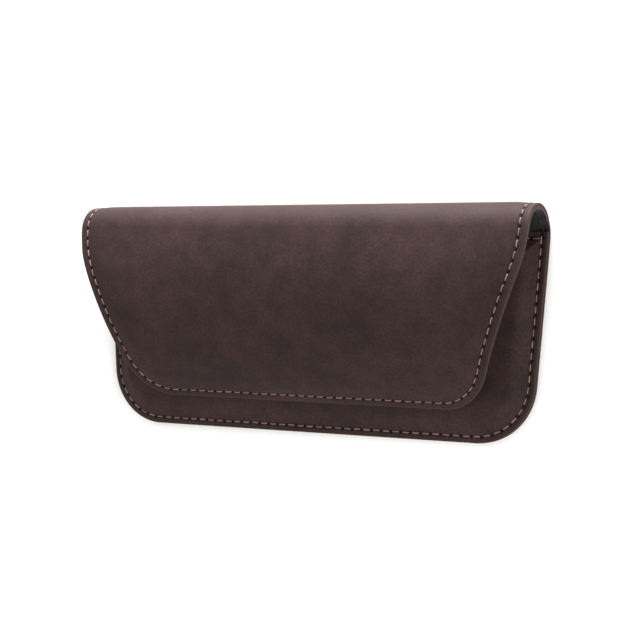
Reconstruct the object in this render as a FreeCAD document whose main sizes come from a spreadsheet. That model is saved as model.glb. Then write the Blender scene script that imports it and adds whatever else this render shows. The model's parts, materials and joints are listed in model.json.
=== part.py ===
import FreeCAD, Part
import os
import math
import Sketcher
from FreeCAD import Placement, Rotation, Vector

# Soft pouch glasses case with a fold-over flap, lying on its back.
# Frame: +X along the width, +Y from the bottom seam to the fold, +Z from the back panel to the flap.
# The origin is on the resting face, in the middle of the case. Millimetres and degrees.

os.makedirs("parts", exist_ok=True)
doc = FreeCAD.newDocument("GlassesCase")

# ---------------------------------------------------------------- driving dimensions
DRIVING = [
    ("case_width", 175.0, "side edge to side edge"),
    ("case_height", 78.3, "bottom edge to the top of the fold"),
    ("skin", 1.1, "coated leather"),
    ("foam", 0.8, "foam stiffener"),
    ("lining", 0.5, "soft lining"),
    ("fold_radius", 10.0, "outside of the fold"),
    ("flare", 12.0, "angle at which the flap leaves the fold, away from the back"),
    ("crown_radius", 77.7, "outside of the curved flap"),
    ("tuck", 33.9, "angle at which the flap's free edge points back at the pocket"),
    ("body_corner", 20.5, "bottom corners of the body"),
    ("body_lean", 4.4, "side edges of the body from upright"),
    ("flap_corner", 18.8, "corners of the flap"),
    ("flap_lean", 21.3, "side edges of the flap from upright"),
    ("flap_taper_start", 62.5, "height where the flap starts to narrow"),
    ("glue_line", 0.03, "glue between the back and front panels at their seam"),
    ("strips", 8, "bending strips of the fold"),
    ("strip_gap", 0.2, "clearance between two strips"),
    ("pocket_rise", 11.0, "how far the pocket bulges in the middle"),
    ("mouth_rise", 8.0, "how far the pocket's mouth stands open"),
    ("shoulder", 0.55, "share of the half width over which the pocket swells from its side seam"),
    ("bulge_peak", 0.62, "where the pocket is fullest, as a share of its height"),
    ("seam_margin", 4.5, "flat edge of the pocket outside its bulge"),
    ("stitch_inset", 2.2, "seam line from the edge of the pocket"),
    ("flap_stitch_inset", 2.8, "seam line from the edge of the fold and the flap"),
    ("stitch_pitch", 3.75, "needle hole to needle hole"),
    ("stitch_length", 2.6, "thread seen between two holes"),
    ("thread", 0.55, "thread width"),
    ("thread_proud", 0.25, "thread above the leather"),
    ("magnet_dia", 12.0, "closure magnet"),
    ("patch_dia", 18.0, "cloth patch over a magnet"),
    ("patch", 0.2, "thickness of the patch"),
    ("magnet_height", 23.0, "magnet centre above the bottom edge"),
]
dims = doc.addObject("Spreadsheet::Sheet", "Dims")
for row, (alias, value, meaning) in enumerate(DRIVING, start=1):
    dims.set("A%d" % row, alias.replace("_", " "))
    dims.set("B%d" % row, str(value))
    dims.set("C%d" % row, meaning)
    dims.setAlias("B%d" % row, alias)
doc.recompute()


def size(alias):
    """The value of one driving dimension."""
    return float(dims.get(alias))


WALL = size("skin") + size("foam") + size("lining")
HALF = size("case_height") / 2
FOLD_Y = HALF - size("fold_radius")
FOLD_TURN = 180.0 - size("flare")
STRIPS = int(size("strips"))
STRIP_TURN = FOLD_TURN / STRIPS
GAP_TURN = math.degrees(size("strip_gap") / size("fold_radius"))
WALL_TEXT = "(Dims.skin + Dims.foam + Dims.lining)"
TRIM_HEIGHT = 60.0
DISC_DEPTH = 8.0

# Each layer of the wall: (name, depth of its outer side, depth of its inner side), as sheet formulas.
SURFACE = "0"
UNDER_SKIN = "Dims.skin"
UNDER_MAGNET = "(Dims.skin + Dims.foam - Dims.patch)"
UNDER_FOAM = "(Dims.skin + Dims.foam)"
LAYERS = [
    ("outer", SURFACE, UNDER_SKIN),
    ("padding", UNDER_SKIN, UNDER_FOAM),
    ("lining", UNDER_FOAM, WALL_TEXT),
]


def fold_point(angle, radius):
    """(y, z) on the fold's circle, the angle counted from the back panel's plane."""
    turn = math.radians(angle)
    return (FOLD_Y + radius * math.sin(turn), size("fold_radius") - radius * math.cos(turn))


FLAP_ROOT = fold_point(FOLD_TURN, size("fold_radius"))
CROWN = fold_point(FOLD_TURN, size("fold_radius") - size("crown_radius"))


FLAP_FREE_Y = CROWN[0] - size("crown_radius") * math.sin(math.radians(size("tuck")))
MAGNET_Y = size("magnet_height") - HALF


# ---------------------------------------------------------------- outlines and extrusions
def rounded_panel(sketch, top_y, top_half, bottom_y, lean, corner):
    """Draws a panel with a straight top, leaning sides and round bottom corners, and constrains it.

    top_y, top_half, bottom_y are (value, formula) pairs; lean and corner are aliases.
    """
    slope = math.tan(math.radians(size(lean)))
    foot = top_half[0] - slope * (top_y[0] - bottom_y[0])
    turn = math.radians(90.0 - size(lean))
    radius = size(corner)
    reach = radius * math.tan(turn / 2)
    start = Vector(foot + reach * math.sin(math.radians(size(lean))),
                   bottom_y[0] + reach * math.cos(math.radians(size(lean))), 0)
    end = Vector(foot - reach, bottom_y[0], 0)
    centre = Vector(end.x, bottom_y[0] + radius, 0)
    right = Vector(top_half[0], top_y[0], 0)

    def mirrored(point):
        return Vector(-point.x, point.y, 0)

    rise = -math.radians(size(lean))
    circle = Part.Circle(centre, Vector(0, 0, 1), radius)
    other = Part.Circle(mirrored(centre), Vector(0, 0, 1), radius)
    edges = [
        Part.LineSegment(mirrored(right), right),
        Part.LineSegment(right, start),
        Part.ArcOfCircle(circle, -math.pi / 2, rise),
        Part.LineSegment(end, mirrored(end)),
        Part.ArcOfCircle(other, math.pi - rise, 3 * math.pi / 2),
        Part.LineSegment(mirrored(start), mirrored(right)),
    ]
    sketch.addGeometry(edges, False)
    top, side, arc, base, far_arc, far_side = range(len(edges))
    joins = [
        ("Coincident", top, 2, side, 1),
        ("Tangent", side, 2, arc, 2),
        ("Tangent", arc, 1, base, 1),
        ("Tangent", base, 2, far_arc, 2),
        ("Tangent", far_arc, 1, far_side, 1),
        ("Coincident", far_side, 2, top, 1),
        ("Horizontal", base),
        ("Symmetric", top, 1, top, 2, -2),
        ("Symmetric", side, 2, far_side, 1, -2),
    ]
    for join in joins:
        sketch.addConstraint(Sketcher.Constraint(*join))
    driven = [
        ("half_top", ("DistanceX", top, 2, top_half[0]), top_half[1]),
        ("top_level", ("DistanceY", top, 2, top_y[0]), top_y[1]),
        ("bottom_level", ("DistanceY", base, 1, bottom_y[0]), bottom_y[1]),
        ("corner", ("Radius", arc, radius), "Dims.%s" % corner),
        ("lean", ("Angle", side, math.radians(-90.0 - size(lean))), "(-90 - Dims.%s) * 1 deg" % lean),
    ]
    for name, terms, formula in driven:
        index = sketch.addConstraint(Sketcher.Constraint(*terms))
        sketch.renameConstraint(index, name)
        sketch.setExpression("Constraints.%s" % name, formula)


BODY_OUTLINE = dict(
    top_y=(FOLD_Y - size("strip_gap") / 2, "Dims.case_height / 2 - Dims.fold_radius - Dims.strip_gap / 2"),
    top_half=(size("case_width") / 2, "Dims.case_width / 2"),
    bottom_y=(-HALF, "-Dims.case_height / 2"),
    lean="body_lean",
    corner="body_corner",
)
FLAP_SPREAD = (size("case_height") - size("flap_taper_start")) * math.tan(math.radians(size("flap_lean")))
FLAP_OUTLINE = dict(
    top_y=(HALF, "Dims.case_height / 2"),
    top_half=(
        size("case_width") / 2 + FLAP_SPREAD,
        "Dims.case_width / 2 + (Dims.case_height - Dims.flap_taper_start) * tan(Dims.flap_lean * 1 deg)",
    ),
    bottom_y=(
        FLAP_FREE_Y,
        "Dims.case_height / 2 - Dims.fold_radius"
        " - (Dims.crown_radius - Dims.fold_radius) * sin(Dims.flare * 1 deg)"
        " - Dims.crown_radius * sin(Dims.tuck * 1 deg)",
    ),
    lean="flap_lean",
    corner="flap_corner",
)


# ---------------------------------------------------------------- ways of making a piece
def bind(obj, **formulas):
    """Binds properties of an object to formulas on the sheet."""
    for name, formula in formulas.items():
        obj.setExpression(name, formula)


def flat_panel(label, shallow, deep, outline):
    """A PartDesign pad of an outline, between two depths above the table."""
    body = doc.addObject("PartDesign::Body", label)
    sketch = body.newObject("Sketcher::SketchObject", label + "_outline")
    plane = [item for item in body.Origin.OriginFeatures if item.Role == "XY_Plane"][0]
    sketch.AttachmentSupport = [(plane, "")]
    sketch.MapMode = "FlatFace"
    rounded_panel(sketch, **outline)
    pad = body.newObject("PartDesign::Pad", label + "_sheet")
    pad.Profile = sketch
    bind(pad, Length="%s - %s" % (deep, shallow))
    body.Placement = Placement(Vector(0, 0, dims.evalExpression(shallow)), Rotation())
    return body


def band(label, centre, radius, shallow, deep, first_angle, turn):
    """A curved sheet as wide as the case: part of a ring between two depths, round an axis along X.

    The first angle is counted from straight down, towards +Y; turn is a formula for how far the ring goes.
    """
    first = math.radians(first_angle)
    along = Vector(0, math.sin(first), -math.cos(first))
    facing = Rotation(along, Vector(1, 0, 0).cross(along), Vector(1, 0, 0), "ZXY")
    place = Placement(Vector(-size("case_width") / 2, centre[0], centre[1]), facing)
    wheels = []
    for name, depth in (("disc", shallow), ("core", deep)):
        wheel = doc.addObject("Part::Cylinder", "%s_%s" % (label, name))
        bind(wheel, Radius="%s - %s" % (radius, depth), Height="Dims.case_width", Angle=turn)
        wheel.Placement = place
        wheels.append(wheel)
    return cut(label, *wheels)


def outline_prism(label, outline):
    """A tall prism of an outline, to trim curved sheets with."""
    sketch = doc.addObject("Sketcher::SketchObject", label + "_outline")
    rounded_panel(sketch, **outline)
    prism = doc.addObject("Part::Extrusion", label + "_prism")
    prism.Base = sketch
    prism.DirMode = "Custom"
    prism.Dir = Vector(0, 0, 1)
    prism.LengthFwd = TRIM_HEIGHT
    prism.Solid = True
    return prism


def common(label, base, tool):
    """What two objects share."""
    result = doc.addObject("Part::Common", label)
    result.Base = base
    result.Tool = tool
    return result


def cut(label, base, tool):
    """The first object less the second."""
    result = doc.addObject("Part::Cut", label)
    result.Base = base
    result.Tool = tool
    return result


def disc(label, diameter, height, slope):
    """A disc through the wall at the magnets' place, square to a wall of that height and slope."""
    cylinder = doc.addObject("Part::Cylinder", label)
    bind(cylinder, Radius="Dims.%s / 2" % diameter)
    cylinder.Height = DISC_DEPTH
    turn = Rotation(Vector(1, 0, 0), slope)
    middle = Vector(0, MAGNET_Y, height) - turn.multVec(Vector(0, 0, DISC_DEPTH / 2))
    cylinder.Placement = Placement(middle, turn)
    return cylinder


def magnet_pocket(panel, sheet, height, slope):
    """Lets a magnet and the patch over it into a panel's foam. Returns foam, magnet and patch.

    sheet(label, shallow, deep) makes the panel's wall between two depths.
    """
    foam = sheet(panel + "_foam", UNDER_SKIN, UNDER_FOAM)
    magnet_disc = disc(panel + "_magnet_disc", "magnet_dia", height, slope)
    patch_disc = disc(panel + "_patch_disc", "patch_dia", height, slope)
    magnet = common(panel + "_magnet", sheet(panel + "_magnet_layer", UNDER_SKIN, UNDER_MAGNET), magnet_disc)
    patch = common(panel + "_magnet_patch", sheet(panel + "_patch_layer", UNDER_MAGNET, UNDER_FOAM), patch_disc)
    foam_round_magnet = cut(panel + "_foam_round_magnet", foam, magnet)
    return [cut(panel + "_padding", foam_round_magnet, patch), magnet, patch]


def seam_line(outline, top_y, inset):
    """The seam round a panel's sides and bottom as a wire, inset from its edge, from right to left."""
    lean = math.radians(size(outline["lean"]))
    radius = size(outline["corner"])
    foot_x = outline["top_half"][0] - math.tan(lean) * (outline["top_y"][0] - outline["bottom_y"][0])
    base_y = outline["bottom_y"][0]
    centre = Vector(foot_x - radius * math.tan((math.pi / 2 - lean) / 2), base_y + radius, 0)
    inner = radius - inset

    def on_corner(angle):
        return centre + Vector(math.cos(angle), math.sin(angle), 0) * inner

    side_start = on_corner(-lean)
    side_top_x = side_start.x + math.tan(lean) * (top_y - side_start.y)
    widest = size("case_width") / 2 - inset
    points = [Vector(side_top_x, top_y, 0)]
    if side_top_x > widest:
        turn_y = top_y - (side_top_x - widest) / math.tan(lean)
        points = [Vector(widest, top_y, 0), Vector(widest, turn_y, 0)]
    points.append(side_start)
    edges = [Part.LineSegment(a, b).toShape() for a, b in zip(points, points[1:])]
    middle = on_corner(-math.pi / 4 - lean / 2)
    base_end = Vector(centre.x, base_y + inset, 0)
    edges.append(Part.Arc(side_start, middle, base_end).toShape())
    left = []
    for edge in reversed(edges):
        left.append(edge.mirror(Vector(0, 0, 0), Vector(1, 0, 0)))
    bottom = Part.LineSegment(base_end, Vector(-base_end.x, base_end.y, 0)).toShape()
    return Part.Wire(edges + [bottom] + left)


def stitch_footprints(label, wire):
    """Tall bars, one over each stitch of a seam line, to cut the stitches out of a thin skin with."""
    count = round(wire.Length / size("stitch_pitch"))
    holes = wire.discretize(Number=count + 1)
    bars = []
    for start, end in zip(holes, holes[1:]):
        bar = Part.makeBox(size("stitch_length"), size("thread"), TRIM_HEIGHT)
        bar.translate(Vector(-size("stitch_length") / 2, -size("thread") / 2, 0))
        turn = math.degrees(math.atan2(end.y - start.y, end.x - start.x))
        bar.Placement = Placement((start + end) / 2, Rotation(Vector(0, 0, 1), turn)).multiply(bar.Placement)
        bars.append(bar)
    feature = doc.addObject("Part::Feature", label + "_footprints")
    feature.Shape = Part.makeCompound(bars)
    return feature


nodes = []

# ---------------------------------------------------------------- back panel
for layer, shallow, deep in LAYERS:
    nodes.append(flat_panel("back_" + layer, shallow, deep, BODY_OUTLINE))

# ---------------------------------------------------------------- front panel of the pocket
SEAM_Y = -HALF + size("seam_margin")
MOUTH_Y = BODY_OUTLINE["top_y"][0]


def pocket_rise(x, y):
    """How far the pocket stands off its flat seam: it swells from the seams and eases towards the mouth."""
    narrowing = math.tan(math.radians(size("body_lean"))) * (MOUTH_Y - y)
    half = size("case_width") / 2 - size("seam_margin") - narrowing
    inwards = max(0.0, 1.0 - abs(x) / half) / size("shoulder")
    across = math.sin(math.pi / 2 * min(1.0, inwards)) ** 2
    share = max(0.0, (y - SEAM_Y) / (MOUTH_Y - SEAM_Y))
    peak = size("bulge_peak")
    if share < peak:
        swell = size("pocket_rise") * math.sin(math.pi / 2 * share / peak) ** 2
    else:
        past = (share - peak) / (1.0 - peak)
        swell = size("pocket_rise") - (size("pocket_rise") - size("mouth_rise")) * past ** 2
    return across * swell


def pocket_surface(columns=28, rows=16):
    """The pocket's bulge as one smooth face over the whole body."""
    across = [size("case_width") * (i / columns - 0.5) for i in range(columns + 1)]
    along = [-HALF + (MOUTH_Y + HALF) * j / rows for j in range(rows + 1)]
    grid = [[Vector(x, y, pocket_rise(x, y)) for y in along] for x in across]
    surface = Part.BSplineSurface()
    surface.interpolate(grid)
    return surface.toShape()


pocket_face = doc.addObject("Part::Feature", "pocket_face")
pocket_face.Shape = pocket_surface()
body_prism = outline_prism("body", BODY_OUTLINE)


def pocket_slab(label, shallow, deep):
    """The bulged face thickened downwards, between two depths under the front panel's outer side."""
    slab = doc.addObject("Part::Extrusion", label + "_slab")
    slab.Base = pocket_face
    slab.DirMode = "Custom"
    slab.Dir = Vector(0, 0, 1)
    bind(slab, LengthFwd="%s - %s" % (deep, shallow))
    top = 2 * WALL + size("glue_line")
    slab.Placement = Placement(Vector(0, 0, top - dims.evalExpression(deep)), Rotation())
    return slab


def pocket_sheet(label, shallow, deep):
    """One layer of the front panel."""
    return common(label, pocket_slab(label, shallow, deep), body_prism)


nodes.append(pocket_sheet("front_outer", SURFACE, UNDER_SKIN))
nodes.append(pocket_sheet("front_lining", UNDER_FOAM, WALL_TEXT))
reach = 0.5
rise_at_magnet = pocket_rise(0, MAGNET_Y + reach) - pocket_rise(0, MAGNET_Y - reach)
pocket_slope = math.degrees(math.atan(rise_at_magnet / (2 * reach)))
pocket_height = pocket_rise(0, MAGNET_Y) + 2 * WALL - size("skin")
nodes += magnet_pocket("front", pocket_sheet, pocket_height, pocket_slope)

pocket_thread_skin = pocket_slab("pocket_thread", "-Dims.thread_proud", SURFACE)
pocket_bars = stitch_footprints("pocket_stitching", seam_line(BODY_OUTLINE, MOUTH_Y, size("stitch_inset")))
nodes.append(common("pocket_stitching", pocket_thread_skin, pocket_bars))
hem_half = size("case_width") / 2 - 2 * size("stitch_inset")
hem_y = MOUTH_Y - size("stitch_inset")
hem_line = Part.Wire([Part.LineSegment(Vector(hem_half, hem_y, 0), Vector(-hem_half, hem_y, 0)).toShape()])
nodes.append(common("mouth_hem_stitching", pocket_thread_skin, stitch_footprints("mouth_hem_stitching", hem_line)))

# ---------------------------------------------------------------- fold, in strips that turn on each other
STRIP_FORMULA = "(180 - Dims.flare) / Dims.strips - Dims.strip_gap / Dims.fold_radius * 180 / pi"
lanes = []
for side in (-1, 1):
    lane = Part.makeBox(size("thread"), 2 * TRIM_HEIGHT, 2 * TRIM_HEIGHT)
    x = side * (size("case_width") / 2 - size("flap_stitch_inset")) - size("thread") / 2
    lane.translate(Vector(x, FOLD_Y - TRIM_HEIGHT, -TRIM_HEIGHT))
    lanes.append(lane)
thread_lanes = doc.addObject("Part::Feature", "fold_thread_lanes")
thread_lanes.Shape = Part.makeCompound(lanes)
for i in range(STRIPS):
    first = i * STRIP_TURN + GAP_TURN / 2
    centre = (FOLD_Y, size("fold_radius"))
    for layer, shallow, deep in LAYERS:
        label = "fold_%s_%d" % (layer, i + 1)
        nodes.append(band(label, centre, "Dims.fold_radius", shallow, deep, first, STRIP_FORMULA))
    if i == 0:
        continue  # the first strip's thread lies sunk in the resting face
    stitch_turn = math.degrees(size("stitch_length") / size("fold_radius"))
    thread_skin = band(
        "fold_thread_%d" % (i + 1), centre, "Dims.fold_radius", "-Dims.thread_proud", SURFACE,
        (i + 0.5) * STRIP_TURN - stitch_turn / 2, "Dims.stitch_length / Dims.fold_radius * 180 / pi")
    nodes.append(common("fold_stitching_%d" % (i + 1), thread_skin, thread_lanes))

# ---------------------------------------------------------------- flap
flap_prism = outline_prism("flap", FLAP_OUTLINE)
CROWN_GAP_TURN = math.degrees(size("strip_gap") / 2 / size("crown_radius"))
CROWN_FORMULA = "Dims.flare + Dims.tuck - Dims.strip_gap / 2 / Dims.crown_radius * 180 / pi"


def crown_band(label, shallow, deep):
    """The flap's curved sheet between two depths, before it is cut to its outline."""
    first = FOLD_TURN + CROWN_GAP_TURN
    return band(label + "_band", CROWN, "Dims.crown_radius", shallow, deep, first, CROWN_FORMULA)


def flap_sheet(label, shallow, deep):
    """One layer of the flap."""
    return common(label, crown_band(label, shallow, deep), flap_prism)


nodes.append(flap_sheet("flap_outer", SURFACE, UNDER_SKIN))
nodes.append(flap_sheet("flap_lining", UNDER_FOAM, WALL_TEXT))
crown_lean = math.asin((CROWN[0] - MAGNET_Y) / size("crown_radius"))
crown_height = CROWN[1] + (size("crown_radius") - size("skin")) * math.cos(crown_lean)
nodes += magnet_pocket("flap", flap_sheet, crown_height, math.degrees(crown_lean))
flap_bars = stitch_footprints("flap_stitching", seam_line(FLAP_OUTLINE, FLAP_ROOT[0], size("flap_stitch_inset")))
nodes.append(common("flap_stitching", crown_band("flap_thread", "-Dims.thread_proud", SURFACE), flap_bars))

# ---------------------------------------------------------------- check and write
doc.recompute()
for item in doc.Objects:
    if "Invalid" in item.State or "Error" in item.State:
        raise RuntimeError("%s is %s" % (item.Label, item.State))
for node in nodes:
    shape = node.Shape
    if shape.isNull() or not shape.isValid() or not shape.Solids:
        raise RuntimeError("%s has no valid solid" % node.Label)
for node in nodes:
    node.Shape.exportStep("parts/%s.step" % node.Label)
    box = node.Shape.BoundBox
    print("%-22s %3d solids %9.1f mm3  x %.1f..%.1f  y %.1f..%.1f  z %.2f..%.2f" % (
        node.Label, len(node.Shape.Solids), node.Shape.Volume,
        box.XMin, box.XMax, box.YMin, box.YMax, box.ZMin, box.ZMax))
print(len(nodes), "nodes; hinges at", [
    [round(value, 3) for value in fold_point(i * STRIP_TURN, size("fold_radius"))] for i in range(STRIPS + 1)])
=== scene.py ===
# %% [markdown]
# # A soft pouch case for glasses
#
# The case is one long strip of soft laminate. It is the back panel, goes over the fold and comes down as
# the flap. A second, shorter piece is sewn to the back at its sides and bottom and makes the pocket. This
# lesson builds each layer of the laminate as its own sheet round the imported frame: coated leather outside,
# foam in the middle, a suede-like lining inside, and the thread that holds them together. It lies on its
# back, with its flap on top.

# %% Load the frame
import json
import math

import bmesh
import bpy
import numpy as np
from mathutils import Matrix, Vector


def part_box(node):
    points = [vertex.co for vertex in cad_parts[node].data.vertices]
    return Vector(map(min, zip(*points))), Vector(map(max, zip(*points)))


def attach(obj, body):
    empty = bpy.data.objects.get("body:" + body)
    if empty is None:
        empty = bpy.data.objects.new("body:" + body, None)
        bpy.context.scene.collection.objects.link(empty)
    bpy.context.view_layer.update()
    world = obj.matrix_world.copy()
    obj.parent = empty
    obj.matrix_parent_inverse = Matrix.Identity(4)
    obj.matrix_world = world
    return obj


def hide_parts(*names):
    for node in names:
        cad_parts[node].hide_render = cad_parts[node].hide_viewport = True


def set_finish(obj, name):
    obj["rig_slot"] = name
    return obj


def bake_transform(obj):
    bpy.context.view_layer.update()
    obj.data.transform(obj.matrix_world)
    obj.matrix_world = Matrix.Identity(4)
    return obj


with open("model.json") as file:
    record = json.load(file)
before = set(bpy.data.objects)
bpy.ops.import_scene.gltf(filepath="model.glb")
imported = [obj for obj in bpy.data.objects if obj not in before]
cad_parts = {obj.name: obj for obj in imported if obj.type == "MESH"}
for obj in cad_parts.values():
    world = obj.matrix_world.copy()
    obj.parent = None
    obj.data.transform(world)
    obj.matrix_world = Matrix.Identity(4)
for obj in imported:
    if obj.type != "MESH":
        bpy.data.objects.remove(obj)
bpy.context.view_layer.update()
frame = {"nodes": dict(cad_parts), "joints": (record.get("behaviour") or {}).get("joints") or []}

# %% [markdown]
# ## Sizes
#
# A maker works from a few sizes of the cut pattern. Those that the frame holds are read from it: the wall's
# layers, the place of the fold's hinges, and so the fold's radius. The rest are the pattern's own: how the
# side edges lean, how round the corners are, how far in the seam runs. They are the CAD model's, except
# that the flap leans in a little more and is about a millimetre longer, as soft leather gives.

# %% Sizes from the frame and the pattern
MM = 0.001
back_low, back_high = [np.array(corner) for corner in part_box("back_outer")]
SKIN = back_high[2]
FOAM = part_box("back_padding")[1][2]
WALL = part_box("back_lining")[1][2]
WIDTH = back_high[0] - back_low[0]
BOTTOM = back_low[1]

hinges = [joint for joint in frame["joints"] if joint["type"] == "hinge"]
hinges.sort(key=lambda joint: joint["name"])
hinge_at = np.array([joint["pos_m"] for joint in hinges])
STRIPS = len(hinges) - 1
STRIP_TURN = math.radians(hinges[1]["range_deg"][1])
FOLD_TURN = STRIP_TURN * STRIPS
FOLD_RADIUS = np.linalg.norm(hinge_at[1] - hinge_at[0]) / (2 * math.sin(STRIP_TURN / 2))
FOLD_Y = hinge_at[0][1]
CROWN_RADIUS = 77.7 * MM
CROWN_Y = hinge_at[-1][1] - CROWN_RADIUS * math.sin(FOLD_TURN)
CROWN_Z = hinge_at[-1][2] + CROWN_RADIUS * math.cos(FOLD_TURN)
TUCK = math.radians(34.6)

BACK_LENGTH = FOLD_Y - BOTTOM
FOLD_LENGTH = FOLD_RADIUS * FOLD_TURN
FLAP_LENGTH = CROWN_RADIUS * (math.pi - FOLD_TURN + TUCK)
STRIP_LENGTH = FOLD_LENGTH / STRIPS
BODY_SEAM_INSET = 2.2 * MM
FLAP_SEAM_INSET = 2.8 * MM
STITCH_PITCH = 3.75 * MM
GLUE_LINE = 0.03 * MM
print("cut length of the strip in mm:", round(1000 * (BACK_LENGTH + FOLD_LENGTH + FLAP_LENGTH), 1))

# %% [markdown]
# ## From the flat pattern to the folded case
#
# Leather doesn't stretch much, so the honest way to shape it is to draw on the flat pattern and then bend
# the pattern. A point of the pattern has a place across, x, a length along the strip, s, and a depth below
# the outer side. The strip is flat as the back panel, runs round a circle as the fold, and round a much
# larger circle as the crown of the flap. The same coordinates are used as the UV map, so the grain runs on
# over the fold and doesn't slide when the case opens.


# %% Bending the strip
def wrap(x, s, depth):
    """Place of a strip point. Back: (x, bottom + s, depth). Fold and crown: a circle's centre plus
    (radius - depth) times (sin a, -cos a), with a the angle that the strip has turned through."""
    x, s, depth = np.broadcast_arrays(x, s, depth)
    fold_angle = (s - BACK_LENGTH) / FOLD_RADIUS
    crown_angle = FOLD_TURN + (s - BACK_LENGTH - FOLD_LENGTH) / CROWN_RADIUS
    on_back = s <= BACK_LENGTH
    on_fold = ~on_back & (s <= BACK_LENGTH + FOLD_LENGTH)
    fold_y = FOLD_Y + (FOLD_RADIUS - depth) * np.sin(fold_angle)
    fold_z = FOLD_RADIUS - (FOLD_RADIUS - depth) * np.cos(fold_angle)
    crown_y = CROWN_Y + (CROWN_RADIUS - depth) * np.sin(crown_angle)
    crown_z = CROWN_Z - (CROWN_RADIUS - depth) * np.cos(crown_angle)
    y = np.where(on_back, BOTTOM + s, np.where(on_fold, fold_y, crown_y))
    z = np.where(on_back, depth, np.where(on_fold, fold_z, crown_z))
    return np.stack([x, y, z], axis=-1)


# %% [markdown]
# The pocket's front panel is not part of the strip. It is sewn flat at its edges and stands off the back in
# between, where the glasses go. It swells gently from its seams and eases a little towards its open mouth.

# %% The pocket's front panel
POCKET_RISE = 11.0 * MM
MOUTH_RISE = 8.0 * MM
BULGE_PEAK = 0.62
SEAM_MARGIN = 4.5 * MM
SHOULDER = 0.55
BODY_LEAN = math.radians(4.4)
MOUTH = BACK_LENGTH + 0.9 * MM


def pocket_rise(x, s):
    """How far the pocket stands off its flat seam: a sine squared swell from each side seam, times a sine
    squared swell from the bottom seam up to its fullest line, less a parabola from there to the mouth."""
    half = WIDTH / 2 - SEAM_MARGIN - math.tan(BODY_LEAN) * (BACK_LENGTH - s)
    inwards = np.clip((1 - np.abs(x) / half) / SHOULDER, 0, 1)
    across = np.sin(math.pi / 2 * inwards) ** 2
    share = np.clip((s - SEAM_MARGIN) / (BACK_LENGTH - SEAM_MARGIN), 0, None)
    rising = POCKET_RISE * np.sin(math.pi / 2 * np.clip(share / BULGE_PEAK, 0, 1)) ** 2
    past = np.clip((share - BULGE_PEAK) / (1 - BULGE_PEAK), 0, None)
    return across * (rising - (POCKET_RISE - MOUTH_RISE) * past ** 2)


def on_pocket(x, s, depth):
    """Place of a front panel point: its height is two walls and the rise, less the depth."""
    x, s, depth = np.broadcast_arrays(x, s, depth)
    z = 2 * WALL + GLUE_LINE + pocket_rise(x, s) - depth
    return np.stack([x, BOTTOM + s, z], axis=-1)


# %% [markdown]
# ## Outlines
#
# Both panels end in leaning sides, large round corners and a straight edge, as a cutting die leaves them.
# The cut edge is drawn once, closely. Every row of the mesh near it is that same edge moved inwards, so the
# rows follow the corners as the seam does. Across the fold the strip keeps its full width.

# %% Cut edges
STEP = 0.05 * MM
PAST_END = 4 * MM
BLUNTING = 0.5 * MM
TAPER_BLUNTING = 2.0 * MM
TAPER_LEAD = 2 * MM
TAPER_EASE = 8 * MM
HALF_WIDTH = WIDTH / 2
CROWN_START = BACK_LENGTH + FOLD_LENGTH
STRIP_END = CROWN_START + FLAP_LENGTH
BODY_CORNER = 20.5 * MM
BODY_FOOT = HALF_WIDTH - math.tan(BODY_LEAN) * BACK_LENGTH
FLAP_CORNER = 18.8 * MM
FLAP_LEAN = math.radians(22.0)
FLAP_EDGE_Y = CROWN_Y - CROWN_RADIUS * math.sin(TUCK)
TAPER_Y = 23.0 * MM


def smooth(value):
    """0 to 1 by the smooth step 3 v^2 - 2 v^3, held at the ends."""
    held = np.clip(value, 0, 1)
    return held * held * (3 - 2 * held)


def lesser(a, b, blunting):
    """The lesser of two lengths, blunted where they meet: half of a + b - sqrt((a - b)^2 + blunting^2)."""
    return (a + b - np.sqrt((a - b) ** 2 + blunting ** 2)) / 2


def strip_half(s):
    """Half width of the strip at s: the back's lean, then the full width, then the flap's lean. On the flap
    the lean is along y, the crown centre's y plus its radius times the sine of the angle turned, and the
    blunting grows from 0.5 to 2 mm by a smooth step where the flap starts to narrow."""
    crown_y = CROWN_Y + CROWN_RADIUS * np.sin(FOLD_TURN + (s - CROWN_START) / CROWN_RADIUS)
    on_flap = HALF_WIDTH + math.tan(FLAP_LEAN) * (crown_y - TAPER_Y)
    on_back = BODY_FOOT + math.tan(BODY_LEAN) * s
    late = smooth((s - CROWN_START + TAPER_LEAD) / TAPER_EASE)
    blunting = BLUNTING + (TAPER_BLUNTING - BLUNTING) * late
    return lesser(np.where(s < BACK_LENGTH + FOLD_LENGTH / 2, on_back, on_flap), HALF_WIDTH, blunting)


def cut_edge(low_y, top, lean, corner, distance):
    """Right half of a cut edge as close points (x, a), a being the distance from the free edge: from past the
    far end at top, down the leaning side, round the corner's arc and along the free edge to its middle."""
    arc_start = float(distance(low_y + corner - corner * math.sin(lean)))
    side_a = np.linspace(top + PAST_END, arc_start, int((top - arc_start) / STEP))
    side_x = strip_half(side_a if distance is from_bottom else STRIP_END - side_a)
    centre_x = side_x[-1] - corner * math.cos(lean)
    turn = np.linspace(-lean, -math.pi / 2, int(corner / STEP))[1:]
    base_x = np.linspace(centre_x, 0, int(centre_x / STEP))[1:]
    x = np.concatenate([side_x, centre_x + corner * np.cos(turn), base_x])
    arc_a = distance(low_y + corner + corner * np.sin(turn))
    a = np.concatenate([side_a, arc_a, np.zeros(len(base_x))])
    return {"points": np.stack([x, a], axis=1), "middle": len(side_x) + len(turn) // 2, "top": top}


def from_bottom(y):
    """Distance from the bottom edge, for the flat panels."""
    return y - BOTTOM


def from_flap_edge(y):
    """Distance from the flap's free edge: radius times the angle still to turn, pi + tuck less the angle."""
    return CROWN_RADIUS * (TUCK + np.arcsin((y - CROWN_Y) / CROWN_RADIUS))


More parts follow.
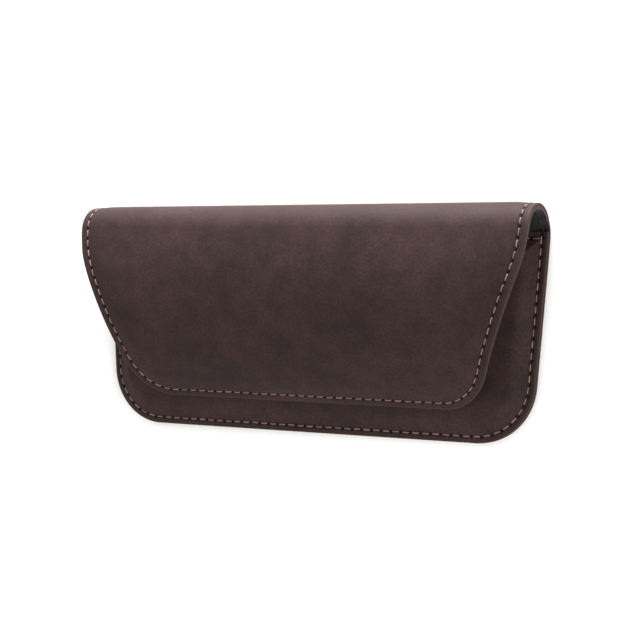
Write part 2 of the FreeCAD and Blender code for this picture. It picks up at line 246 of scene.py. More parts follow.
body_edge = cut_edge(BOTTOM, BACK_LENGTH - STRIP_LENGTH / 2, BODY_LEAN, BODY_CORNER, from_bottom)
pocket_edge = dict(body_edge, top=MOUTH)
flap_edge = cut_edge(FLAP_EDGE_Y, FLAP_LENGTH - STRIP_LENGTH / 2, FLAP_LEAN, FLAP_CORNER, from_flap_edge)


def evenly(points, count):
    """The same path with count even steps along its length."""
    step = np.linalg.norm(np.diff(points, axis=0), axis=1)
    run = np.concatenate([[0], np.cumsum(step)])
    at = np.linspace(0, run[-1], count + 1)
    return np.stack([np.interp(at, run, points[:, k]) for k in range(points.shape[1])], axis=1)


def row(edge, inset, counts, mouth=0):
    """A row of the mesh, from the far end down the left side, along the free edge and up the right side. It
    is the cut edge moved inwards along its normal, cut off at the far end. With a mouth count, the row is
    closed by a straight run along the mouth, as far in as the rest."""
    points = edge["points"]
    top = edge["top"] - (inset if mouth else 0)
    along = np.gradient(points, axis=0)
    along /= np.linalg.norm(along, axis=1, keepdims=True)
    moved = points + inset * np.stack([along[:, 1], -along[:, 0]], axis=1)
    first = int(np.argmax(moved[:, 1] <= top))
    share = (moved[first - 1, 1] - top) / (moved[first - 1, 1] - moved[first, 1])
    start = moved[first - 1] + share * (moved[first] - moved[first - 1])
    side = evenly(np.concatenate([[start], moved[first:edge["middle"] + 1]]), counts[0])
    base = evenly(moved[edge["middle"]:], counts[1])
    half = np.concatenate([side, base[1:]])
    whole = np.concatenate([half * [-1, 1], half[::-1][1:]])
    if not mouth:
        return whole
    across = evenly(np.stack([start, start * [-1, 1]]), mouth)
    return np.concatenate([whole, across[1:-1]])


# %% [markdown]
# ## Stitch holes
#
# A machine needle goes through all the layers at an even pitch and pulls the leather down round each hole,
# so the seam is a row of small dark pits in a shallow groove. The holes are laid out first, because both
# the leather and the thread are shaped by them.


# %% Holes along each seam
PIT_LONG = 0.85 * MM
PIT_WIDE = 0.50 * MM
POINTS_AT_ONCE = 4000
MOUTH_EASE = 6 * MM
SEAM_COUNTS = (600, 600)


def holes_along(path):
    """Even holes along a path, as near the pitch as a whole number of stitches allows, with the seam's
    direction at each."""
    length = np.linalg.norm(np.diff(path, axis=0), axis=1).sum()
    at = evenly(path, round(length / STITCH_PITCH))
    along = np.gradient(at, axis=0)
    return at, along / np.linalg.norm(along, axis=1, keepdims=True)


def past_mouth(s):
    """0 where the strip is the back panel and 1 where it is the fold or the flap, with a smooth step over
    the 6 mm past the pocket's mouth."""
    return smooth((s - MOUTH) / MOUTH_EASE)


def seam_inset(s):
    """How far in from the cut edge the seam runs."""
    return BODY_SEAM_INSET + (FLAP_SEAM_INSET - BODY_SEAM_INSET) * past_mouth(s)


def seam(edge, top, inset):
    """Path of a side seam, at its inset, from the height top round the panel."""
    return row(dict(edge, top=top), inset, SEAM_COUNTS)


body_seam = holes_along(seam(body_edge, BACK_LENGTH, BODY_SEAM_INSET))
flap_seam = holes_along(seam(flap_edge, FLAP_LENGTH, FLAP_SEAM_INSET))
hem_half = strip_half(BACK_LENGTH) - BODY_SEAM_INSET
hem_path = np.array([[-hem_half, MOUTH - BODY_SEAM_INSET], [hem_half, MOUTH - BODY_SEAM_INSET]])
hem_seam = holes_along(hem_path)
fold_s = BACK_LENGTH + STRIP_LENGTH * np.arange(STRIPS + 1)
fold_x = strip_half(fold_s) - seam_inset(fold_s)
fold_holes = np.concatenate([np.stack([side * fold_x, fold_s], axis=1) for side in (-1, 1)])
fold_seam = (fold_holes, np.tile([0.0, 1.0], (len(fold_holes), 1)))
print("stitches: pocket", len(body_seam[0]) - 1, "flap", len(flap_seam[0]) - 1, "mouth", len(hem_seam[0]) - 1)


def as_strip(holes):
    """The flap's holes in strip coordinates, s being the strip's length less the distance from its end."""
    at, along = holes
    return np.stack([at[:, 0], STRIP_END - at[:, 1]], axis=1), along * [1, -1]


def joined(*seams):
    """The holes of several seams as one list."""
    return tuple(np.concatenate(parts) for parts in zip(*seams))


def pit_depth(x, s, holes):
    """How deep in a needle pit each point is, 0 to 1: the largest, over the holes, of exp(-(u/0.85)^2 -
    (v/0.50)^2), u and v being the distances in mm along the seam and across it."""
    deepest = np.zeros(len(x))
    at, along = holes
    for part in np.array_split(np.arange(len(x)), max(1, len(x) // POINTS_AT_ONCE)):
        off_x = x[part, None] - at[:, 0]
        off_s = s[part, None] - at[:, 1]
        u = off_x * along[:, 0] + off_s * along[:, 1]
        v = off_x * along[:, 1] - off_s * along[:, 0]
        deepest[part] = np.exp(-(u / PIT_LONG) ** 2 - (v / PIT_WIDE) ** 2).max(axis=1)
    return deepest


# %% [markdown]
# ## Layers
#
# The wall is three sheets. Each is described by the depth of its visible side and of its hidden side, and
# by how far each side is moved at the seam. A maker skives the leather and trims the foam there, and the
# thread squeezes what is left, so the edge is much thinner than the wall. The flap and the fold come down
# from the outside. On the pocket the two panels close on each other, and the pair comes down to the table,
# while the mouth, which stands open, is thinned like the flap. The cut edge is rounded by wear and by the
# edge coat.

# %% How each layer is pressed at the seam
PRESS_REACH = 8.5 * MM
PRESS_FLAT = 1.2 * MM
STANDS_OFF = 2.0 * MM
BEND_FULLNESS = 0.65
BEND_START = 8 * MM
BEND_END = 14 * MM
GROOVE_WIDTH = 0.6 * MM
CLEAR_OF_ROUNDING = 1.2
layers = {
    "leather": dict(
        face=0.0, back=SKIN, flap=(1.05, 0.75), under=(0.00, -0.48), over=(2.58, 2.15),
        rounding=0.30, trim=0.0, groove=0.15, pit=0.38),
    "foam": dict(
        face=SKIN, back=FOAM, flap=(0.75, 0.03), under=(-0.48, -1.23), over=(2.15, 1.40),
        rounding=0.02, trim=0.10, groove=0.0, pit=0.0),
    "lining": dict(
        face=WALL, back=FOAM, flap=(-0.10, 0.03), under=(-1.38, -1.23), over=(1.33, 1.40),
        rounding=0.12, trim=0.05, groove=-0.06, pit=-0.20),
}
NEAR = np.array([
    7.6, 6.7, 5.9, 5.2, 4.6, 4.1, 3.7, 3.4, 3.15, 2.92, 2.7,
    2.5, 2.3, 2.1, 1.9, 1.65, 1.4, 1.15, 0.9, 0.68, 0.5,
]) * MM
HIDDEN = np.array([0.9, 1.5, 2.2, 3.0, 4.0, 5.2, 6.5]) * MM
INNER = 8.6 * MM


def section(layer):
    """Rows from the inner side of the seam over the rim to the hidden side, as (inset, share of the way from
    the visible side to the hidden one). The rim is a quarter turn, a short flat and a quarter turn, and a few
    rows on the hidden side keep it under the visible one."""
    round_by = layer["rounding"] * MM
    thick = abs(layer["back"] - layer["face"])
    turn = np.radians([0, 30, 60, 90])
    rim = round_by * (1 - np.sin(turn))
    down = round_by * (1 - np.cos(turn)) / thick
    near = NEAR[NEAR > round_by * CLEAR_OF_ROUNDING]
    inset = np.concatenate([near, rim, rim[::-1], HIDDEN]) + layer["trim"] * MM
    share = np.concatenate([np.zeros(len(near)), down, 1 - down[::-1], np.ones(len(HIDDEN))])
    return inset, share


def closeness(inset):
    """0 away from the seam and 1 at the edge, by a smooth step."""
    return smooth((PRESS_REACH - inset) / (PRESS_REACH - PRESS_FLAT))


def strip_press(layer, x, s):
    """The strip's press at (x, s), for its visible and hidden sides: the body's, then the flap's. Round the
    bend only a third of the flap's press is left, so that the foam is nearly full and doesn't crease."""
    bend = smooth((s - BACK_LENGTH) / BEND_START) * smooth((CROWN_START + BEND_START - s) / BEND_END)
    late = (past_mouth(s) * (1 - BEND_FULLNESS * bend))[:, None]
    early = 1 - past_mouth(s)[:, None]
    return np.array(layer["under"]) * early + np.array(layer["flap"]) * late


def pocket_press(layer, x, s):
    """The front panel's press: the body's where it lies on the back, the flap's where it stands off it."""
    off = smooth(pocket_rise(x, s) / STANDS_OFF)[:, None]
    return np.array(layer["over"]) * (1 - off) + np.array(layer["flap"]) * off


def layer_depth(layer, press, x, s, inset, share, pit):
    """Depth below the panel's outer side: between the two sides by share, plus the press times the closeness
    of the edge, with the seam's groove, exp(-((inset - seam) / 0.6)^2), and its pits."""
    sides = press(layer, x, s)
    moved = sides[:, 0] + (sides[:, 1] - sides[:, 0]) * share
    groove = layer["groove"] * np.exp(-((inset - seam_inset(s)) / GROOVE_WIDTH) ** 2)
    sunk = (groove + layer["pit"] * pit) * (1 - share) ** 2
    return layer["face"] + (layer["back"] - layer["face"]) * share + MM * (moved * closeness(inset) + sunk)


# %% [markdown]
# ## One mesh for each sheet
#
# A sheet needs close rows only near its seam, where the pits are half a millimetre wide. So the middle is a
# coarse grid, blended from its four sides, and the rim is a set of fine rows. Between them a single ring of
# faces has five fine edges on one side and one coarse edge on the other. That keeps each panel small
# without losing the stitched edge.


# %% Building a closed sheet
LARGEST_FACE = 24


def link(first, second, closed):
    """Quads between two rows of vertex numbers."""
    if closed:
        first = np.append(first, first[0])
        second = np.append(second, second[0])
    return np.stack([first[:-1], first[1:], second[1:], second[:-1]], axis=1)


def step_down(coarse, fine, ratio, closed):
    """Faces between a coarse row and a fine one with ratio times as many edges."""
    if closed:
        coarse = np.append(coarse, coarse[0])
        fine = np.append(fine, fine[0])
    edges = np.arange(len(coarse) - 1)
    steps = [fine[edges * ratio + k] for k in range(ratio, -1, -1)]
    return np.stack([coarse[:-1], coarse[1:], *steps], axis=1)


def make_mesh(name, points, faces, pattern, pit, inset):
    """A closed mesh from its points and faces, normals outwards. It carries the flat pattern, as its UV map
    in metres and as an attribute in mm, and the pits and the nearness of the rim as attributes."""
    mesh = bpy.data.meshes.new(name)
    mesh.from_pydata(points.tolist(), [], [face for part in faces for face in part.tolist()])
    built = bmesh.new()
    built.from_mesh(mesh)
    bmesh.ops.recalc_face_normals(built, faces=built.faces)
    built.to_mesh(mesh)
    built.free()
    mesh.polygons.foreach_set("use_smooth", np.ones(len(mesh.polygons), bool))
    corner_vertex = np.empty(len(mesh.loops), int)
    corner_edge = np.empty(len(mesh.loops), int)
    mesh.loops.foreach_get("vertex_index", corner_vertex)
    mesh.loops.foreach_get("edge_index", corner_edge)
    totals = np.empty(len(mesh.polygons), int)
    mesh.polygons.foreach_get("loop_total", totals)
    ends = np.repeat(totals > LARGEST_FACE, totals)
    sharp = np.zeros(len(mesh.edges), bool)
    sharp[corner_edge[ends]] = True
    mesh.attributes.new("sharp_edge", "BOOLEAN", "EDGE").data.foreach_set("value", sharp)
    uv = mesh.uv_layers.new(name="pattern")
    uv.data.foreach_set("uv", pattern[corner_vertex, :2].ravel())
    flat = mesh.attributes.new("pattern_mm", "FLOAT_VECTOR", "POINT")
    flat.data.foreach_set("vector", (pattern / MM).ravel())
    mesh.attributes.new("pit", "FLOAT", "POINT").data.foreach_set("value", pit)
    rim = np.clip(1 - inset / PRESS_REACH, 0, 1)
    mesh.attributes.new("rim", "FLOAT", "POINT").data.foreach_set("value", rim)
    obj = bpy.data.objects.new(name, mesh)
    bpy.context.collection.objects.link(obj)
    return obj


def coons(left, right, top, base):
    """Grid blended from four boundary rows, u across and v down: (1 - u) left + u right + (1 - v) top +
    v base, less the bilinear blend of the corners."""
    u = np.linspace(0, 1, len(top))[None, :, None]
    v = np.linspace(0, 1, len(left))[:, None, None]
    sides = (1 - u) * left[:, None] + u * right[:, None]
    ends = (1 - v) * top[None] + v * base[None]
    high = (1 - u) * left[0] + u * right[0]
    low = (1 - u) * left[-1] + u * right[-1]
    return sides + ends - (1 - v) * high - v * low


def panel(name, edge, place, press, layer, counts, ratio, holes, mouth=False, flip=False):
    """A whole panel of one layer. counts are coarse steps down a side and along half of the base, and ratio
    is how many fine steps there are to a coarse one."""
    inset, share = section(layer)
    rows_down, half_base = counts
    across = 2 * half_base
    around = row(edge, INNER, counts, across if mouth else 0)
    left = around[:rows_down + 1]
    base = around[rows_down:rows_down + across + 1]
    right = around[rows_down + across:2 * rows_down + across + 1][::-1]
    top = left[0] + (right[0] - left[0]) * np.linspace(0, 1, across + 1)[:, None]
    grid = coons(left, right, top, base)
    fine = (rows_down * ratio, half_base * ratio)
    rings = [row(edge, each, fine, across * ratio if mouth else 0) for each in inset]
    ring_size = len(rings[0])
    flat = np.concatenate([grid.reshape(-1, 2), *rings, grid.reshape(-1, 2)])
    cells = grid.shape[0] * grid.shape[1]
    all_inset = np.concatenate([np.full(cells, INNER), np.repeat(inset, ring_size), np.full(cells, INNER)])
    all_share = np.concatenate([np.zeros(cells), np.repeat(share, ring_size), np.ones(cells)])
    x = flat[:, 0]
    s = STRIP_END - flat[:, 1] if flip else flat[:, 1]
    pit = pit_depth(x, s, holes) if layer["pit"] else np.zeros(len(x))
    depth = layer_depth(layer, press, x, s, all_inset, all_share, pit)
    face_grid = np.arange(cells).reshape(grid.shape[:2])
    back_grid = face_grid + cells + len(rings) * ring_size
    loops = [np.arange(ring_size) + cells + k * ring_size for k in range(len(rings))]
    faces = []
    for sheet in (face_grid, back_grid):
        quads = np.stack([sheet[:-1, :-1], sheet[:-1, 1:], sheet[1:, 1:], sheet[1:, :-1]], axis=-1)
        faces.append(quads.reshape(-1, 4))
        border = np.concatenate([sheet[:, 0], sheet[-1, 1:], sheet[:-1, -1][::-1]])
        if mouth:
            border = np.concatenate([border, sheet[0, 1:-1][::-1]])
        near = loops[0] if sheet is face_grid else loops[-1]
        faces.append(step_down(border, near, ratio, mouth))
    faces += [link(first, second, mouth) for first, second in zip(loops[:-1], loops[1:])]
    if not mouth:
        right_end = [each[-1] for each in loops]
        left_end = [each[0] for each in loops][::-1]
        end = np.concatenate([face_grid[0], right_end, back_grid[0][::-1], left_end])
        faces.append(end[None])
    pattern = np.stack([x, s, depth], axis=1)
    return make_mesh(name, place(x, s, depth), faces, pattern, pit * (1 - all_share), all_inset)


# %% [markdown]
# Over the fold the strip is cut into nine short pieces, one at each hinge of the CAD chain, because a piece
# can bend between two bodies only. Each is the same cross-section carried along the strip, from the middle
# of one CAD strip to the middle of the next, so neighbours meet. The pieces are left where they are built
# and are fixed to no body.

# %% Pieces of the fold
FOLD_ROWS = 14
FOLD_COLUMNS = 44


def fold_piece(name, number, layer):
    """The strip's cross-section carried along s, half a strip each side of a hinge."""
    inset, share = section(layer)
    centre = np.linspace(0, 1, FOLD_COLUMNS)
    half_inset = np.concatenate([np.full(FOLD_COLUMNS, INNER), inset, np.full(FOLD_COLUMNS, INNER)])
    half_share = np.concatenate([np.zeros(FOLD_COLUMNS), share, np.ones(FOLD_COLUMNS)])
    half_out = np.concatenate([centre, np.ones(len(inset)), centre[::-1]])
    way = np.concatenate([np.ones(len(half_out)), -np.ones(len(half_out) - 2)])
    loop_inset = np.concatenate([half_inset, half_inset[-2:0:-1]])
    loop_share = np.concatenate([half_share, half_share[-2:0:-1]])
    loop_out = np.concatenate([half_out, half_out[-2:0:-1]]) * way
    middle = BACK_LENGTH + STRIP_LENGTH * number
    s = np.linspace(middle - STRIP_LENGTH / 2, middle + STRIP_LENGTH / 2, FOLD_ROWS + 1)
    x = (strip_half(s)[:, None] - loop_inset) * loop_out
    s = np.repeat(s, len(loop_out))
    x = x.ravel()
    all_inset = np.tile(loop_inset, FOLD_ROWS + 1)
    all_share = np.tile(loop_share, FOLD_ROWS + 1)
    pit = pit_depth(x, s, strip_holes) if layer["pit"] else np.zeros(len(x))
    depth = layer_depth(layer, strip_press, x, s, all_inset, all_share, pit)
    rows = np.arange(len(x)).reshape(FOLD_ROWS + 1, -1)
    faces = [link(first, second, True) for first, second in zip(rows[:-1], rows[1:])]
    faces += [rows[0][None], rows[-1][None]]
    pattern = np.stack([x, s, depth], axis=1)
    return make_mesh(name, wrap(x, s, depth), faces, pattern, pit * (1 - all_share), all_inset)


# %% Sew the layers together
strip_holes = joined(body_seam, fold_seam, as_strip(flap_seam))
front_holes = joined(body_seam, hem_seam)
BODY_COUNTS = (30, 40)
FLAP_COUNTS = (28, 34)
RATIOS = {"leather": 5, "foam": 1, "lining": 4}
BLEND_SHARE = 0.92
CAD_LAYER = {"leather": "outer", "foam": "padding", "lining": "lining"}


made = {}
for kind, layer in layers.items():
    ratio = RATIOS[kind]
    node = CAD_LAYER[kind]
    back = panel(kind + "_back", body_edge, wrap, strip_press, layer, BODY_COUNTS, ratio, strip_holes)
    front = panel(
        kind + "_front", pocket_edge, on_pocket, pocket_press, layer, BODY_COUNTS, ratio, front_holes,
        mouth=True)
    over = panel(
        kind + "_flap", flap_edge, wrap, strip_press, layer, FLAP_COUNTS, ratio, strip_holes, flip=True)
    folds = [fold_piece("%s_fold_%d" % (kind, number + 1), number, layer) for number in range(STRIPS + 1)]
    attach(back, "pouch")
    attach(front, "pouch")
    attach(over, "flap")
    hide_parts("back_" + node)
    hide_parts("front_" + node)
    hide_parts("flap_" + node)
    for number, piece in enumerate(folds):
        at = BACK_LENGTH + STRIP_LENGTH * number
        reach = STRIP_LENGTH / 2 * BLEND_SHARE
        start, end = wrap(0, np.array([at - reach, at + reach]), SKIN)
        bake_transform(piece)
        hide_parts("fold_%s_%d" % (node, max(number, 1)))
    for piece in (back, front, over, *folds):
        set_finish(piece, kind)
        made[piece.name] = piece
    faces = sum(len(piece.data.polygons) for piece in (back, front, over, *folds))
    print(kind, "faces:", faces)

# %% [markdown]
# ## Thread
#
# The seam is a lockstitch in thick bonded polyester thread: each stitch comes up out of one hole, lies on
# the leather and goes down into the next. Every stitch is a short bent tube of its own, standing on the
# straight line between its two holes, so round the corners the seam is a row of short straights, as a
# machine sews it. On the resting side the thread is pulled further into the leather, because the case lies
# flat.

# %% Stitches
THREAD = 0.48 * MM
TUBE_SIDES = 8
TUBE_RINGS = 11
STITCH_SHARE = 0.66
DIVE = 0.80 * MM
WANDER = 0.05 * MM
END_CROWDING = 0.8
FLATTENING = 0.82
END_THINNING = 0.12


def seam_depth(kind, press, points):
    """Depth of a layer's visible side along its seam, at points (x, s)."""
    x, s = points[..., 0].ravel(), points[..., 1].ravel()
    layer = dict(layers[kind], groove=0.0)
    flat = np.zeros(len(x))
    return layer_depth(layer, press, x, s, seam_inset(s), flat, flat).reshape(points.shape[:-1])


def stitch_paths(holes, kind, press, rise, dive):
    """Centre lines (x, s, depth) of the stitches between neighbouring holes. From one hole to the next the
    depth is the seam's plus rise plus dive times (2 t - 1) to the sixth, so a stitch is flat on top with
    steep ends."""
    t = np.linspace(-1, 1, TUBE_RINGS)
    share = 0.5 + STITCH_SHARE / 2 * np.sign(t) * np.abs(t) ** END_CROWDING
    lean = np.random.default_rng(len(holes)).normal(0, WANDER, (len(holes) - 1, 2))
    flat = holes[:-1, None] + (holes[1:] - holes[:-1])[:, None] * share[:, None]
    flat = flat + lean[:, None] * (1 - t ** 2)[:, None]
    depth = seam_depth(kind, press, flat) + rise + dive * t ** 6
    return np.concatenate([flat, depth[:, :, None]], axis=2)


def stitches(name, paths, place, facing):
    """Tubes along the paths. Each ring is turned about the path: side vector times cos a plus up vector times
    sin a, up being the surface's own normal there."""
    x, s, depth = paths[..., 0], paths[..., 1], paths[..., 2]
    centre = place(x, s, depth)
    along = np.gradient(centre, axis=1)
    along /= np.linalg.norm(along, axis=2, keepdims=True)
    up = place(x, s, depth - facing * THREAD) - centre
    side = np.cross(along, up)
    side /= np.linalg.norm(side, axis=2, keepdims=True)
    up = np.cross(side, along)
    angle = np.linspace(0, 2 * math.pi, TUBE_SIDES, endpoint=False)
    swell = 1 - END_THINNING * np.linspace(-1, 1, TUBE_RINGS) ** 4
    ring = side[:, :, None] * np.cos(angle)[:, None] + up[:, :, None] * np.sin(angle)[:, None] * FLATTENING
    points = centre[:, :, None] + ring * (swell * THREAD / 2)[:, None, None]
    count = len(centre)
    number = np.arange(points[..., 0].size).reshape(count, TUBE_RINGS, TUBE_SIDES)
    turned = np.roll(number, -1, axis=2)
    quads = np.stack([number[:, :-1], turned[:, :-1], turned[:, 1:], number[:, 1:]], axis=-1).reshape(-1, 4)
    mesh = bpy.data.meshes.new(name)
    caps = np.concatenate([number[:, 0], number[:, -1, ::-1]])
    mesh.from_pydata(points.reshape(-1, 3).tolist(), [], quads.tolist() + caps.tolist())
    built = bmesh.new()
    built.from_mesh(mesh)
    bmesh.ops.recalc_face_normals(built, faces=built.faces)
    built.to_mesh(mesh)
    built.free()
    mesh.polygons.foreach_set("use_smooth", np.ones(len(mesh.polygons), bool))
    run = np.linalg.norm(np.diff(centre, axis=1), axis=2).cumsum(axis=1)
    run = np.concatenate([np.zeros((count, 1)), run], axis=1)
    length = np.broadcast_to(run[:, :, None], number.shape).ravel()
    turn = np.broadcast_to(angle / (2 * math.pi), number.shape).ravel()
    corner_vertex = np.empty(len(mesh.loops), int)
    mesh.loops.foreach_get("vertex_index", corner_vertex)
    uv = mesh.uv_layers.new(name="thread")
    uv.data.foreach_set("uv", np.stack([turn, length / MM], axis=1)[corner_vertex].ravel())
    twist = np.stack([turn, length / MM, np.repeat(np.arange(count), TUBE_RINGS * TUBE_SIDES)], axis=1)
    mesh.attributes.new("twist", "FLOAT_VECTOR", "POINT").data.foreach_set("vector", twist.ravel())
    obj = bpy.data.objects.new(name, mesh)
    bpy.context.collection.objects.link(obj)
    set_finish(obj, "thread")
    made[name] = obj
    return obj


PROUD = 0.03 * MM
SUNK = 0.16 * MM
INSIDE = -0.03 * MM
SHALLOW = -0.34 * MM
flap_holes = as_strip(flap_seam)[0]
over_front = stitch_paths(body_seam[0], "leather", pocket_press, PROUD, DIVE)
under_back = stitch_paths(body_seam[0], "leather", strip_press, SUNK, DIVE - SUNK)
on_hem = stitch_paths(hem_seam[0], "leather", pocket_press, PROUD, DIVE)
over_flap = stitch_paths(flap_holes, "leather", strip_press, PROUD, DIVE)
under_flap = stitch_paths(flap_holes, "lining", strip_press, INSIDE, SHALLOW)
thread_front = stitches("thread_pocket_front", over_front, on_pocket, 1)
thread_back = stitches("thread_pocket_back", under_back, wrap, 1)
thread_hem = stitches("thread_mouth", on_hem, on_pocket, 1)
thread_over = stitches("thread_flap_outside", over_flap, wrap, 1)
thread_under = stitches("thread_flap_inside", under_flap, wrap, -1)
for thread in (thread_front, thread_back, thread_hem):
    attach(thread, "pouch")
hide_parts("pocket_stitching")
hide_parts("mouth_hem_stitching")
for thread in (thread_over, thread_under):
    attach(thread, "flap")
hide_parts("flap_stitching")
for number in range(STRIPS):
    pairs = [fold_holes[[number, number + 1]], fold_holes[[number + STRIPS + 1, number + STRIPS + 2]]]
    proud = PROUD if number else SUNK
    outside = [stitch_paths(pair, "leather", strip_press, proud, DIVE) for pair in pairs]
    inside = [stitch_paths(pair, "lining", strip_press, INSIDE, SHALLOW) for pair in pairs]
    for side, paths, facing in (("outside", outside, 1), ("inside", inside, -1)):
        thread = stitches("thread_fold_%s_%d" % (side, number + 1), np.concatenate(paths), wrap, facing)
        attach(thread, "fold_strip_%d" % (number + 1))
        if side == "outside" and number:
            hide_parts("fold_stitching_%d" % (number + 1))
print("pieces so far:", len(made))

# %% [markdown]
# ## Materials
#
# The outside is a split leather with a thin matt coat, brushed so that its fibres stand a little, like
# nubuck. Brushing takes the colour unevenly, so it is cloudy at the size of a thumb and finely speckled
# close up. Near the cut rim the colour is paler, partly the coat worn thin there and partly a painted
# highlight of the rounded edge catching the light.


# %% Small helpers for nodes
def linear(code):
    """Linear colour from an sRGB hex code: (c / 12.92) or ((c + 0.055) / 1.055)^2.4 for each channel."""
    channels = [int(code[k:k + 2], 16) / 255 for k in (1, 3, 5)]
    return [c / 12.92 if c <= 0.04045 else ((c + 0.055) / 1.055) ** 2.4 for c in channels] + [1.0]


def add(tree, kind, inputs=None, **settings):
    """Adds a node with its settings. An input is a value, or another node's output socket to link from."""
    node = tree.nodes.new(kind)
    for key, value in settings.items():
        setattr(node, key, value)
    for key, value in (inputs or {}).items():
        if isinstance(value, bpy.types.NodeSocket):
            tree.links.new(value, node.inputs[key])
        else:
            node.inputs[key].default_value = value
    return node


def shader(name):
    """A new material with its tree and its Principled shader."""
    material = bpy.data.materials.new(name)
    material.use_nodes = True
    return material, material.node_tree, material.node_tree.nodes["Principled BSDF"]


def clouds(tree, place, across, detail=3.0, roughness=0.55):
    """A noise whose largest features are about so far across, in the unit of place."""
    settings = {"Vector": place, "Scale": 1 / across, "Detail": detail, "Roughness": roughness}
    return add(tree, "ShaderNodeTexNoise", settings).outputs["Fac"]


def span(tree, value, low, high, to_low, to_high):
    """Maps low..high to to_low..to_high, held at the ends."""
    names = {"Value": value, "From Min": low, "From Max": high, "To Min": to_low, "To Max": to_high}
    return add(tree, "ShaderNodeMapRange", names).outputs["Result"]


def blend_colours(tree, share, first, second, mode="MIX"):
    """Mixes two colours by share, in one of the usual modes."""
    node = add(tree, "ShaderNodeMix", {"Factor": share}, data_type="RGBA", blend_type=mode)
    for key, value in ((6, first), (7, second)):
        if isinstance(value, bpy.types.NodeSocket):
            tree.links.new(value, node.inputs[key])
        else:
            node.inputs[key].default_value = value
    return node.outputs[2]


def sums(tree, operation, first, second):
    """One arithmetic step."""
    return add(tree, "ShaderNodeMath", {0: first, 1: second}, operation=operation).outputs[0]


def attribute(tree, name, output="Fac"):
    """A value or vector carried by the mesh."""
    return add(tree, "ShaderNodeAttribute", attribute_name=name).outputs[output]


# %% Brushed coated leather
def leather_material():
    """Split leather, dyed brown, with a thin matt coat brushed to a nubuck-like nap."""
    material, tree, surface = shader("brushed_coated_leather")
    place = attribute(tree, "pattern_mm", "Vector")
    wide = clouds(tree, place, across=34.0, detail=3.0, roughness=0.6)
    patchy = clouds(tree, place, across=7.0, detail=4.0, roughness=0.62)
    fine = clouds(tree, place, across=0.9, detail=3.0, roughness=0.6)
    nap = clouds(tree, place, across=0.28, detail=2.0, roughness=0.7)
    cloudy = sums(tree, "ADD", sums(tree, "MULTIPLY", wide, 0.5), sums(tree, "MULTIPLY", patchy, 0.5))
    tone = span(tree, cloudy, 0.38, 0.62, 0.0, 1.0)
    colour = blend_colours(tree, tone, linear("#241818"), linear("#342423"))
    speckle = span(tree, fine, 0.3, 0.7, 0.70, 1.30)
    grey = add(tree, "ShaderNodeCombineColor", {0: speckle, 1: speckle, 2: speckle}).outputs[0]
    colour = blend_colours(tree, 1.0, colour, grey, "MULTIPLY")
    # Paler near the cut rim: partly worn coat, partly a painted highlight of the rounded edge catching the
    # light.
    rim_wear_and_painted_highlight = span(tree, attribute(tree, "rim"), 0.86, 1.0, 0.0, 0.35)
    colour = blend_colours(tree, rim_wear_and_painted_highlight, colour, linear("#44332f"))
    # Needle pits painted near black: painted shade inside the stitch holes.
    dark = span(tree, attribute(tree, "pit"), 0.08, 0.40, 0.0, 0.97)
    colour = blend_colours(tree, dark, colour, linear("#0f0708"))
    tree.links.new(colour, surface.inputs["Base Color"])
    tree.links.new(span(tree, patchy, 0.3, 0.7, 0.62, 0.78), surface.inputs["Roughness"])
    surface.inputs["Specular IOR Level"].default_value = 0.16
    surface.inputs["Sheen Weight"].default_value = 0.07
    surface.inputs["Sheen Roughness"].default_value = 0.45
    surface.inputs["Sheen Tint"].default_value = linear("#c8a79f")
    height = sums(tree, "ADD", sums(tree, "MULTIPLY", fine, 0.7), sums(tree, "MULTIPLY", nap, 0.5))
    grain = {"Height": height, "Strength": 0.35, "Distance": 0.10 * MM}
    bump = add(tree, "ShaderNodeBump", grain)
    tree.links.new(bump.outputs["Normal"], surface.inputs["Normal"])
    return material


# %% [markdown]
# The lining is a microfibre suede, knitted and then sanded, so it has a fine nap with no grain. The foam
# shows only as a dark line in the cut edge. The edge is brushed with a coat in the leather's colour, so the
# three layers read as one dark edge until you look closely.

# %% Lining, foam, thread and the hidden closure
def lining_material():
    """Microfibre suede: knitted, dyed and sanded to a short nap."""
    material, tree, surface = shader("microfibre_suede")
    place = attribute(tree, "pattern_mm", "Vector")
    brushed = clouds(tree, place, across=12.0, detail=3.0, roughness=0.6)
    nap = clouds(tree, place, across=0.35, detail=3.0, roughness=0.7)
    tone = span(tree, brushed, 0.3, 0.7, 0.0, 1.0)
    colour = blend_colours(tree, tone, linear("#181213"), linear("#241c1d"))
    edge = span(tree, attribute(tree, "rim"), 0.96, 1.0, 0.0, 0.8)
    colour = blend_colours(tree, edge, colour, linear("#2b2020"))
    tree.links.new(colour, surface.inputs["Base Color"])
    surface.inputs["Roughness"].default_value = 0.92
    surface.inputs["Specular IOR Level"].default_value = 0.2
    surface.inputs["Sheen Weight"].default_value = 0.12
    surface.inputs["Sheen Roughness"].default_value = 0.5
    bump = add(tree, "ShaderNodeBump", {"Height": nap, "Strength": 0.4, "Distance": 0.08 * MM})
    tree.links.new(bump.outputs["Normal"], surface.inputs["Normal"])
    return material


def foam_material():
    """Closed cell foam sheet, sliced and glued in, its cut edge brushed with brown edge coat."""
    material, tree, surface = shader("edge_coated_foam")
    place = attribute(tree, "pattern_mm", "Vector")
    cells = clouds(tree, place, across=0.3, detail=2.0, roughness=0.6)
    colour = blend_colours(tree, cells, linear("#2c2322"), linear("#3d3230"))
    tree.links.new(colour, surface.inputs["Base Color"])
    surface.inputs["Roughness"].default_value = 0.8
    bump = add(tree, "ShaderNodeBump", {"Height": cells, "Strength": 0.5, "Distance": 0.08 * MM})
    tree.links.new(bump.outputs["Normal"], surface.inputs["Normal"])
    return material


